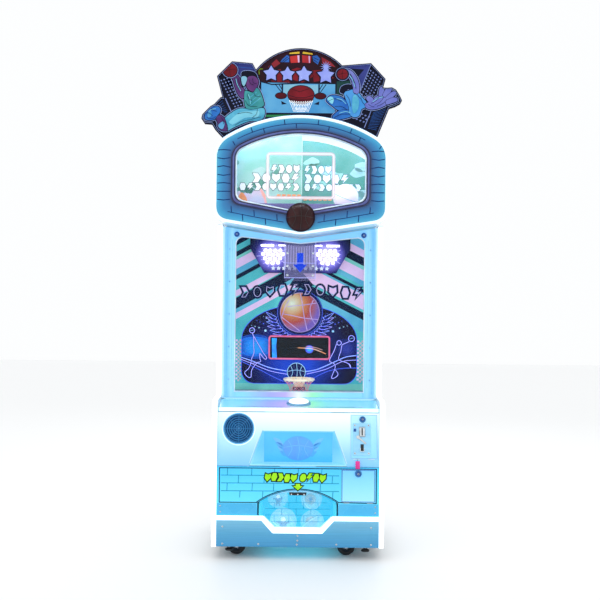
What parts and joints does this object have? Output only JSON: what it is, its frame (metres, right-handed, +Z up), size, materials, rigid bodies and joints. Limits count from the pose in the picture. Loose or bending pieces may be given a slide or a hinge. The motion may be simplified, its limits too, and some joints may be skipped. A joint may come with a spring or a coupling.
{
  "type": "basketball capsule-drop arcade machine",
  "caption": "Free-standing arcade cabinet: capsules drop from an arched upper store through a clear chute and a travelling hoop to a prize outlet.",
  "frame": {"origin": "on the floor, under the centre of the overall footprint", "axes": "+X to the player's right when facing the machine, +Y from the player's side to the back, +Z up"},
  "size_m": [0.83, 0.69, 2.108],
  "materials": {
    "white_laminate": "satin",
    "white_plastic": "glossy",
    "fascia_print": "glossy",
    "console_sheet": "satin",
    "door_sheet": "satin",
    "blue_metal": "brushed",
    "grey_metal": "satin",
    "lit_diffuser": "satin",
    "clear_acrylic": "polished",
    "mauve_plastic": "glossy",
    "court_print": "glossy",
    "mint_print": "glossy",
    "sign_print": "glossy",
    "screen": "glossy",
    "navy_metal": "satin",
    "chrome": "polished",
    "ball_brown": "glossy",
    "rim_paint": "glossy",
    "net_cord": "matt",
    "capsule_white": "glossy",
    "capsule_clear": "polished",
    "black_tyre": "matt",
    "black_rubber": "matt"
  },
  "bodies": {
    "cabinet": {"left_side_panel": "white_laminate", "right_side_panel": "white_laminate", "back_panel": "white_laminate", "base_floor": "white_laminate", "kick_plate": "blue_metal", "base_light_strip": "lit_diffuser", "front_fascia": "fascia_print", "console_panel": "console_sheet", "console_pocket": "white_plastic", "speaker_grille": "navy_metal", "deck_shelf": "console_sheet", "prize_tray": "white_plastic", "prize_capsule_left": "capsule_clear", "prize_capsule_right": "capsule_clear", "prize_duct": "white_plastic", "playfield_board": "court_print", "display_screen": "screen", "lamp_housing": "navy_metal", "drop_chute": "clear_acrylic", "hoop_rail": "grey_metal", "header_shell": "white_plastic", "header_face": "fascia_print", "window_gasket": "mauve_plastic", "window_glass": "clear_acrylic", "header_ball": "ball_brown", "marquee_board": "sign_print", "storage_panel_left": "mint_print", "storage_panel_right": "mint_print", "capsule_hopper": "mauve_plastic", "feeder_motor": "grey_metal", "stored_capsule": "capsule_white"},
    "rear_door": {"rear_door": "white_laminate"},
    "playfield_door": {"playfield_door_frame": "door_sheet", "playfield_door_glass": "clear_acrylic"},
    "door_lock_left": {"door_lock_left": "blue_metal"},
    "door_lock_right": {"door_lock_right": "blue_metal"},
    "coin_door": {"coin_door": "console_sheet", "coin_mechanism": "chrome"},
    "coin_door_lock": {"coin_door_lock": "chrome"},
    "coin_return_lever": {"coin_return_lever": "chrome"},
    "cash_door": {"cash_door": "door_sheet"},
    "cash_door_lock": {"cash_door_lock": "chrome"},
    "prize_flap": {"prize_flap": "clear_acrylic"},
    "start_button": {"start_button": "lit_diffuser"},
    "hoop": {"hoop_carriage": "rim_paint", "hoop_net": "net_cord"},
    "chute_gate": {"chute_gate": "clear_acrylic"},
    "feeder_wheel": {"feeder_wheel": "fascia_print"},
    "castor_fork_front_left": {"castor_fork_front_left": "grey_metal"},
    "castor_wheel_front_left": {"castor_wheel_front_left": "black_tyre"},
    "levelling_foot_front_left": {"levelling_foot_front_left": "black_rubber"},
    "castor_fork_front_right": {"castor_fork_front_right": "grey_metal"},
    "castor_wheel_front_right": {"castor_wheel_front_right": "black_tyre"},
    "levelling_foot_front_right": {"levelling_foot_front_right": "black_rubber"},
    "castor_fork_rear_left": {"castor_fork_rear_left": "grey_metal"},
    "castor_wheel_rear_left": {"castor_wheel_rear_left": "black_tyre"},
    "levelling_foot_rear_left": {"levelling_foot_rear_left": "black_rubber"},
    "castor_fork_rear_right": {"castor_fork_rear_right": "grey_metal"},
    "castor_wheel_rear_right": {"castor_wheel_rear_right": "black_tyre"},
    "levelling_foot_rear_right": {"levelling_foot_rear_right": "black_rubber"}
  },
  "joints": [
    {"name": "rear_door_hinge", "type": "hinge", "parent": "cabinet", "child": "rear_door", "pos_m": [-0.238, 0.345, 0.679], "axis": [0, 0, 1], "range_deg": [0, 110]},
    {"name": "playfield_door_tilt", "type": "hinge", "parent": "cabinet", "child": "playfield_door", "pos_m": [0, -0.11, 0.646], "axis": [1, 0, 0], "range_deg": [0, 60]},
    {"name": "door_lock_left_turn", "type": "hinge", "parent": "playfield_door", "child": "door_lock_left", "pos_m": [-0.273, -0.11, 1.347], "axis": [0, -1, 0], "range_deg": [0, 90]},
    {"name": "door_lock_right_turn", "type": "hinge", "parent": "playfield_door", "child": "door_lock_right", "pos_m": [0.273, -0.11, 1.347], "axis": [0, -1, 0], "range_deg": [0, 90]},
    {"name": "coin_door_hinge", "type": "hinge", "parent": "cabinet", "child": "coin_door", "pos_m": [0.271, -0.29242, 0.41798], "axis": [1, 0, 0], "range_deg": [0, 90]},
    {"name": "coin_door_lock_turn", "type": "hinge", "parent": "coin_door", "child": "coin_door_lock", "pos_m": [0.265, -0.25759, 0.574], "axis": [0, -0.976, 0.2179], "range_deg": [0, 90]},
    {"name": "coin_return_press", "type": "hinge", "parent": "coin_door", "child": "coin_return_lever", "pos_m": [0.2456, -0.27745, 0.50337], "axis": [0, 0.976, -0.2179], "range_deg": [0, 20], "stiffness_Nm_per_rad": 0.06, "springref_deg": -22.92},
    {"name": "cash_door_hinge", "type": "hinge", "parent": "cabinet", "child": "cash_door", "pos_m": [0.248, -0.3, 0.239], "axis": [1, 0, 0], "range_deg": [0, 90]},
    {"name": "cash_door_lock_turn", "type": "hinge", "parent": "cash_door", "child": "cash_door_lock", "pos_m": [0.247, -0.3, 0.357], "axis": [0, -1, 0], "range_deg": [0, 90]},
    {"name": "prize_flap_swing", "type": "hinge", "parent": "cabinet", "child": "prize_flap", "pos_m": [0, -0.297, 0.269], "axis": [-1, 0, 0], "range_deg": [0, 70]},
    {"name": "start_button_press", "type": "slide", "parent": "cabinet", "child": "start_button", "axis": [0, 0.1293, -0.9916], "range_m": [0, 0.005], "stiffness_N_per_m": 900, "springref_m": -0.006},
    {"name": "hoop_slide", "type": "slide", "parent": "cabinet", "child": "hoop", "axis": [1, 0, 0], "range_m": [-0.2, 0.2]},
    {"name": "gate_drop", "type": "hinge", "parent": "cabinet", "child": "chute_gate", "pos_m": [0, 0.042, 1.156], "axis": [1, 0, 0], "range_deg": [0, 75], "stiffness_Nm_per_rad": 0.4, "springref_deg": -57.3},
    {"name": "feeder_spin", "type": "hinge", "parent": "cabinet", "child": "feeder_wheel", "pos_m": [-0.096, 0.002, 1.484], "axis": [0, 0, 1], "continuous": true},
    {"name": "castor_swivel_front_left", "type": "hinge", "parent": "cabinet", "child": "castor_fork_front_left", "pos_m": [-0.229, -0.208, 0.104], "axis": [0, 0, 1], "continuous": true},
    {"name": "castor_roll_front_left", "type": "hinge", "parent": "castor_fork_front_left", "child": "castor_wheel_front_left", "pos_m": [-0.254, -0.208, 0.0375], "axis": [0, 1, 0], "continuous": true},
    {"name": "levelling_screw_front_left", "type": "slide", "parent": "cabinet", "child": "levelling_foot_front_left", "axis": [0, 0, 1], "range_m": [-0.032, 0.012]},
    {"name": "castor_swivel_front_right", "type": "hinge", "parent": "cabinet", "child": "castor_fork_front_right", "pos_m": [0.229, -0.208, 0.104], "axis": [0, 0, 1], "continuous": true},
    {"name": "castor_roll_front_right", "type": "hinge", "parent": "castor_fork_front_right", "child": "castor_wheel_front_right", "pos_m": [0.204, -0.208, 0.0375], "axis": [0, 1, 0], "continuous": true},
    {"name": "levelling_screw_front_right", "type": "slide", "parent": "cabinet", "child": "levelling_foot_front_right", "axis": [0, 0, 1], "range_m": [-0.032, 0.012]},
    {"name": "castor_swivel_rear_left", "type": "hinge", "parent": "cabinet", "child": "castor_fork_rear_left", "pos_m": [-0.229, 0.236, 0.104], "axis": [0, 0, 1], "continuous": true},
    {"name": "castor_roll_rear_left", "type": "hinge", "parent": "castor_fork_rear_left", "child": "castor_wheel_rear_left", "pos_m": [-0.254, 0.236, 0.0375], "axis": [0, 1, 0], "continuous": true},
    {"name": "levelling_screw_rear_left", "type": "slide", "parent": "cabinet", "child": "levelling_foot_rear_left", "axis": [0, 0, 1], "range_m": [-0.032, 0.012]},
    {"name": "castor_swivel_rear_right", "type": "hinge", "parent": "cabinet", "child": "castor_fork_rear_right", "pos_m": [0.229, 0.236, 0.104], "axis": [0, 0, 1], "continuous": true},
    {"name": "castor_roll_rear_right", "type": "hinge", "parent": "castor_fork_rear_right", "child": "castor_wheel_rear_right", "pos_m": [0.204, 0.236, 0.0375], "axis": [0, 1, 0], "continuous": true},
    {"name": "levelling_screw_rear_right", "type": "slide", "parent": "cabinet", "child": "levelling_foot_rear_right", "axis": [0, 0, 1], "range_m": [-0.032, 0.012]}
  ]
}
